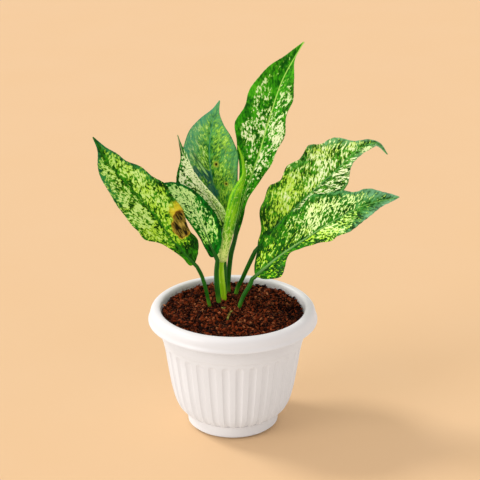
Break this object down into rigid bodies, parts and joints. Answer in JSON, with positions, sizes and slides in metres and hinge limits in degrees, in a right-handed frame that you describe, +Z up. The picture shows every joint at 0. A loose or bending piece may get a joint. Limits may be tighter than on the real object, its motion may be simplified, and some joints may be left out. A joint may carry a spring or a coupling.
{
  "type": "potted chinese evergreen",
  "caption": "Young chinese evergreen with cream-speckled green blades on upright stalks, growing from dark soil in a round white pot with a fluted wall and a rolled rim.",
  "frame": {"origin": "centre of the pot's flat underside, on the surface the pot stands on", "axes": "+Z up along the pot's axis; +X to the viewer's right and -Y towards the viewer, so that the large leaves spread along X"},
  "size_m": [0.2276, 0.13, 0.2913],
  "materials": {
    "pot": "satin",
    "soil": "matte",
    "crown": "matte",
    "sprout": "matte",
    "blade": "satin",
    "stalk": "satin",
    "young_blade": "satin",
    "young_stalk": "satin"
  },
  "bodies": {
    "root": {"pot": "pot", "soil": "soil", "crown": "crown", "sprout": "sprout", "leaf_left_blade": "blade", "leaf_left_stalk": "stalk", "leaf_front_blade": "blade", "leaf_front_stalk": "stalk", "leaf_centre_blade": "blade", "leaf_centre_stalk": "stalk", "leaf_narrow_blade": "blade", "leaf_narrow_stalk": "stalk", "leaf_tall_blade": "blade", "leaf_tall_stalk": "stalk", "leaf_upper_right_blade": "blade", "leaf_upper_right_stalk": "stalk", "leaf_lower_right_blade": "blade", "leaf_lower_right_stalk": "stalk", "leaf_rolled_blade": "young_blade", "leaf_rolled_stalk": "young_stalk"}
  },
  "joints": []
}
